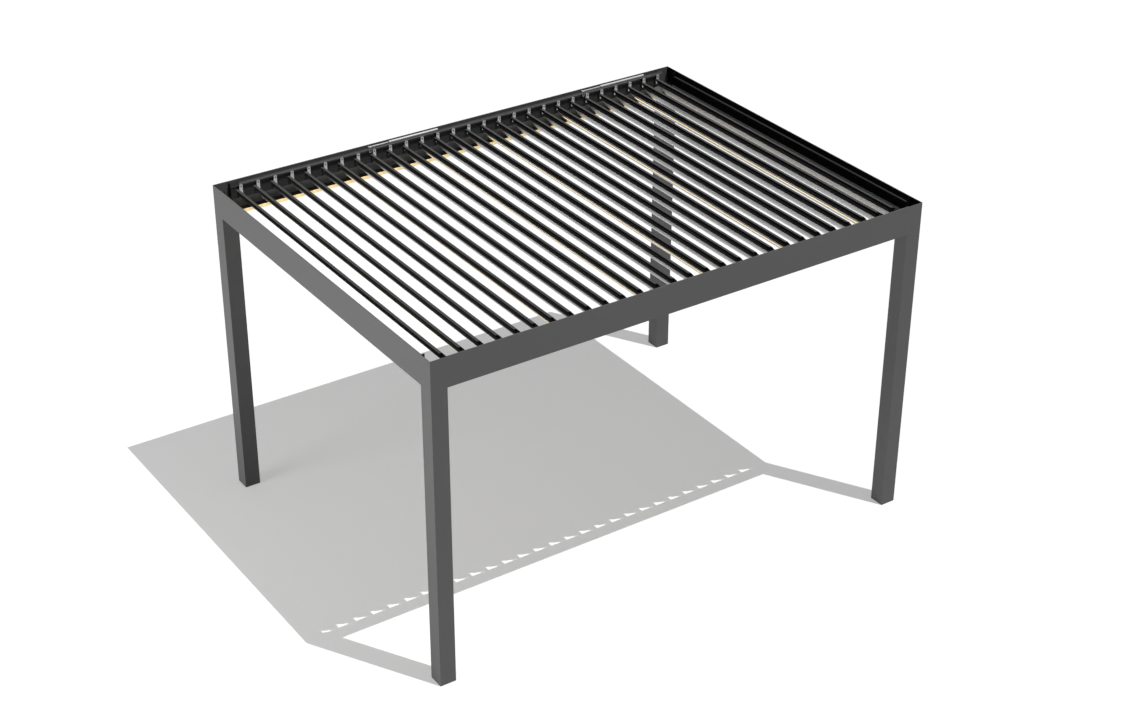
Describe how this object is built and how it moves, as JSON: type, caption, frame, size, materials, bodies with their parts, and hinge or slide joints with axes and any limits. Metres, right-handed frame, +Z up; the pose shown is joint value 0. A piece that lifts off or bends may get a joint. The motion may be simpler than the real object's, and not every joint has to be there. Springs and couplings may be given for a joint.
{
  "type": "louvered pergola",
  "caption": "Free-standing metal pergola: four square posts and a gutter frame carry a flat roof of interlocking louvres that turn together, pushed by a bar and linear actuators.",
  "frame": {"origin": "centre of the footprint, on the ground", "axes": "+X along the long side, +Y towards the side with the push bar, +Z up"},
  "size_m": [4, 3, 2.5],
  "materials": {
    "frame_coating": "matt powder coat, anthracite grey",
    "rail_coating": "matt powder coat, dark grey",
    "louvre_coating": "matt powder coat, dark grey",
    "bar_metal": "matt grey",
    "bare_metal": "mill finish",
    "actuator_metal": "satin anodised",
    "warm_diffuser": "frosted warm white diffuser"
  },
  "bodies": {
    "frame": {"post_front_left": "frame_coating", "post_front_right": "frame_coating", "post_back_left": "frame_coating", "post_back_right": "frame_coating", "post_feet": "bare_metal", "front_beam": "frame_coating", "back_beam": "frame_coating", "left_beam": "frame_coating", "right_beam": "frame_coating", "front_pivot_rail": "rail_coating", "back_pivot_rail": "rail_coating", "left_rail": "rail_coating", "right_rail": "rail_coating", "gutters": "frame_coating", "gutter_lights": "warm_diffuser", "actuator_tube_left": "actuator_metal", "actuator_tube_right": "actuator_metal", "actuator_saddles": "frame_coating"},
    "louvre_01": {"louvre_01": "louvre_coating"},
    "louvre_02": {"louvre_02": "louvre_coating", "louvre_light_02": "warm_diffuser"},
    "louvre_03": {"louvre_03": "louvre_coating"},
    "louvre_04": {"louvre_04": "louvre_coating"},
    "louvre_05": {"louvre_05": "louvre_coating"},
    "louvre_06": {"louvre_06": "louvre_coating"},
    "louvre_07": {"louvre_07": "louvre_coating", "louvre_light_07": "warm_diffuser"},
    "louvre_08": {"louvre_08": "louvre_coating"},
    "louvre_09": {"louvre_09": "louvre_coating"},
    "louvre_10": {"louvre_10": "louvre_coating"},
    "louvre_11": {"louvre_11": "louvre_coating"},
    "louvre_12": {"louvre_12": "louvre_coating", "louvre_light_12": "warm_diffuser"},
    "louvre_13": {"louvre_13": "louvre_coating"},
    "louvre_14": {"louvre_14": "louvre_coating"},
    "louvre_15": {"louvre_15": "louvre_coating"},
    "louvre_16": {"louvre_16": "louvre_coating", "louvre_light_16": "warm_diffuser"},
    "louvre_17": {"louvre_17": "louvre_coating"},
    "louvre_18": {"louvre_18": "louvre_coating"},
    "louvre_19": {"louvre_19": "louvre_coating"},
    "louvre_20": {"louvre_20": "louvre_coating"},
    "louvre_21": {"louvre_21": "louvre_coating", "louvre_light_21": "warm_diffuser"},
    "louvre_22": {"louvre_22": "louvre_coating"},
    "louvre_23": {"louvre_23": "louvre_coating"},
    "louvre_24": {"louvre_24": "louvre_coating"},
    "louvre_25": {"louvre_25": "louvre_coating"},
    "louvre_26": {"louvre_26": "louvre_coating", "louvre_light_26": "warm_diffuser"},
    "louvre_27": {"louvre_27": "louvre_coating"},
    "louvre_28": {"louvre_28": "louvre_coating"},
    "push_bar": {"push_bar": "bar_metal"},
    "actuator_rod_left": {"actuator_rod_left": "actuator_metal"},
    "actuator_rod_right": {"actuator_rod_right": "actuator_metal"}
  },
  "joints": [
    {"name": "louvre_01_turn", "type": "hinge", "parent": "frame", "child": "louvre_01", "pos_m": [-1.808, 0, 2.392], "axis": [0, 1, 0], "range_deg": [-49, 41]},
    {"name": "louvre_02_turn", "type": "hinge", "parent": "frame", "child": "louvre_02", "pos_m": [-1.672, 0, 2.392], "axis": [0, 1, 0], "range_deg": [-49.5, 41.5]},
    {"name": "louvre_03_turn", "type": "hinge", "parent": "frame", "child": "louvre_03", "pos_m": [-1.536, 0, 2.392], "axis": [0, 1, 0], "range_deg": [-49.5, 41.5]},
    {"name": "louvre_04_turn", "type": "hinge", "parent": "frame", "child": "louvre_04", "pos_m": [-1.4, 0, 2.392], "axis": [0, 1, 0], "range_deg": [-49.5, 41.5]},
    {"name": "louvre_05_turn", "type": "hinge", "parent": "frame", "child": "louvre_05", "pos_m": [-1.264, 0, 2.392], "axis": [0, 1, 0], "range_deg": [-49.5, 41.5]},
    {"name": "louvre_06_turn", "type": "hinge", "parent": "frame", "child": "louvre_06", "pos_m": [-1.128, 0, 2.392], "axis": [0, 1, 0], "range_deg": [-49.5, 41.5]},
    {"name": "louvre_07_turn", "type": "hinge", "parent": "frame", "child": "louvre_07", "pos_m": [-0.992, 0, 2.392], "axis": [0, 1, 0], "range_deg": [-49.5, 41.5]},
    {"name": "louvre_08_turn", "type": "hinge", "parent": "frame", "child": "louvre_08", "pos_m": [-0.856, 0, 2.392], "axis": [0, 1, 0], "range_deg": [-49.5, 41.5]},
    {"name": "louvre_09_turn", "type": "hinge", "parent": "frame", "child": "louvre_09", "pos_m": [-0.72, 0, 2.392], "axis": [0, 1, 0], "range_deg": [-49.5, 41.5]},
    {"name": "louvre_10_turn", "type": "hinge", "parent": "frame", "child": "louvre_10", "pos_m": [-0.584, 0, 2.392], "axis": [0, 1, 0], "range_deg": [-49.5, 41.5]},
    {"name": "louvre_11_turn", "type": "hinge", "parent": "frame", "child": "louvre_11", "pos_m": [-0.448, 0, 2.392], "axis": [0, 1, 0], "range_deg": [-49.5, 41.5]},
    {"name": "louvre_12_turn", "type": "hinge", "parent": "frame", "child": "louvre_12", "pos_m": [-0.312, 0, 2.392], "axis": [0, 1, 0], "range_deg": [-49.5, 41.5]},
    {"name": "louvre_13_turn", "type": "hinge", "parent": "frame", "child": "louvre_13", "pos_m": [-0.176, 0, 2.392], "axis": [0, 1, 0], "range_deg": [-49.5, 41.5]},
    {"name": "louvre_14_turn", "type": "hinge", "parent": "frame", "child": "louvre_14", "pos_m": [-0.04, 0, 2.392], "axis": [0, 1, 0], "range_deg": [-49.5, 41.5]},
    {"name": "louvre_15_turn", "type": "hinge", "parent": "frame", "child": "louvre_15", "pos_m": [0.096, 0, 2.392], "axis": [0, 1, 0], "range_deg": [-49.5, 41.5]},
    {"name": "louvre_16_turn", "type": "hinge", "parent": "frame", "child": "louvre_16", "pos_m": [0.232, 0, 2.392], "axis": [0, 1, 0], "range_deg": [-49.5, 41.5]},
    {"name": "louvre_17_turn", "type": "hinge", "parent": "frame", "child": "louvre_17", "pos_m": [0.368, 0, 2.392], "axis": [0, 1, 0], "range_deg": [-49.5, 41.5]},
    {"name": "louvre_18_turn", "type": "hinge", "parent": "frame", "child": "louvre_18", "pos_m": [0.504, 0, 2.392], "axis": [0, 1, 0], "range_deg": [-49.5, 41.5]},
    {"name": "louvre_19_turn", "type": "hinge", "parent": "frame", "child": "louvre_19", "pos_m": [0.64, 0, 2.392], "axis": [0, 1, 0], "range_deg": [-49.5, 41.5]},
    {"name": "louvre_20_turn", "type": "hinge", "parent": "frame", "child": "louvre_20", "pos_m": [0.776, 0, 2.392], "axis": [0, 1, 0], "range_deg": [-49.5, 41.5]},
    {"name": "louvre_21_turn", "type": "hinge", "parent": "frame", "child": "louvre_21", "pos_m": [0.912, 0, 2.392], "axis": [0, 1, 0], "range_deg": [-49.5, 41.5]},
    {"name": "louvre_22_turn", "type": "hinge", "parent": "frame", "child": "louvre_22", "pos_m": [1.048, 0, 2.392], "axis": [0, 1, 0], "range_deg": [-49.5, 41.5]},
    {"name": "louvre_23_turn", "type": "hinge", "parent": "frame", "child": "louvre_23", "pos_m": [1.184, 0, 2.392], "axis": [0, 1, 0], "range_deg": [-49.5, 41.5]},
    {"name": "louvre_24_turn", "type": "hinge", "parent": "frame", "child": "louvre_24", "pos_m": [1.32, 0, 2.392], "axis": [0, 1, 0], "range_deg": [-49.5, 41.5]},
    {"name": "louvre_25_turn", "type": "hinge", "parent": "frame", "child": "louvre_25", "pos_m": [1.456, 0, 2.392], "axis": [0, 1, 0], "range_deg": [-49.5, 41.5]},
    {"name": "louvre_26_turn", "type": "hinge", "parent": "frame", "child": "louvre_26", "pos_m": [1.592, 0, 2.392], "axis": [0, 1, 0], "range_deg": [-49.5, 41.5]},
    {"name": "louvre_27_turn", "type": "hinge", "parent": "frame", "child": "louvre_27", "pos_m": [1.728, 0, 2.392], "axis": [0, 1, 0], "range_deg": [-49.5, 41.5]},
    {"name": "louvre_28_turn", "type": "hinge", "parent": "frame", "child": "louvre_28", "pos_m": [1.864, 0, 2.392], "axis": [0, 1, 0], "range_deg": [-49.5, 41.5]},
    {"name": "push_bar_swing", "type": "hinge", "parent": "louvre_01", "child": "push_bar", "pos_m": [-1.808, 1.452, 2.464], "axis": [0, 1, 0], "range_deg": [-41.5, 49.5]},
    {"name": "actuator_left_stroke", "type": "slide", "parent": "frame", "child": "actuator_rod_left", "axis": [1, 0, 0], "range_m": [-0.0572, 0.048]},
    {"name": "actuator_right_stroke", "type": "slide", "parent": "frame", "child": "actuator_rod_right", "axis": [1, 0, 0], "range_m": [-0.0572, 0.048]}
  ],
  "couplings": [
    {"joint": "louvre_02_turn", "follows": "louvre_01_turn", "ratio": 1},
    {"joint": "louvre_03_turn", "follows": "louvre_01_turn", "ratio": 1},
    {"joint": "louvre_04_turn", "follows": "louvre_01_turn", "ratio": 1},
    {"joint": "louvre_05_turn", "follows": "louvre_01_turn", "ratio": 1},
    {"joint": "louvre_06_turn", "follows": "louvre_01_turn", "ratio": 1},
    {"joint": "louvre_07_turn", "follows": "louvre_01_turn", "ratio": 1},
    {"joint": "louvre_08_turn", "follows": "louvre_01_turn", "ratio": 1},
    {"joint": "louvre_09_turn", "follows": "louvre_01_turn", "ratio": 1},
    {"joint": "louvre_10_turn", "follows": "louvre_01_turn", "ratio": 1},
    {"joint": "louvre_11_turn", "follows": "louvre_01_turn", "ratio": 1},
    {"joint": "louvre_12_turn", "follows": "louvre_01_turn", "ratio": 1},
    {"joint": "louvre_13_turn", "follows": "louvre_01_turn", "ratio": 1},
    {"joint": "louvre_14_turn", "follows": "louvre_01_turn", "ratio": 1},
    {"joint": "louvre_15_turn", "follows": "louvre_01_turn", "ratio": 1},
    {"joint": "louvre_16_turn", "follows": "louvre_01_turn", "ratio": 1},
    {"joint": "louvre_17_turn", "follows": "louvre_01_turn", "ratio": 1},
    {"joint": "louvre_18_turn", "follows": "louvre_01_turn", "ratio": 1},
    {"joint": "louvre_19_turn", "follows": "louvre_01_turn", "ratio": 1},
    {"joint": "louvre_20_turn", "follows": "louvre_01_turn", "ratio": 1},
    {"joint": "louvre_21_turn", "follows": "louvre_01_turn", "ratio": 1},
    {"joint": "louvre_22_turn", "follows": "louvre_01_turn", "ratio": 1},
    {"joint": "louvre_23_turn", "follows": "louvre_01_turn", "ratio": 1},
    {"joint": "louvre_24_turn", "follows": "louvre_01_turn", "ratio": 1},
    {"joint": "louvre_25_turn", "follows": "louvre_01_turn", "ratio": 1},
    {"joint": "louvre_26_turn", "follows": "louvre_01_turn", "ratio": 1},
    {"joint": "louvre_27_turn", "follows": "louvre_01_turn", "ratio": 1},
    {"joint": "louvre_28_turn", "follows": "louvre_01_turn", "ratio": 1},
    {"joint": "push_bar_swing", "follows": "louvre_01_turn", "ratio": -1},
    {"joint": "actuator_left_stroke", "follows": "louvre_01_turn", "m_per_rad": 0.06566},
    {"joint": "actuator_right_stroke", "follows": "louvre_01_turn", "m_per_rad": 0.06566}
  ]
}
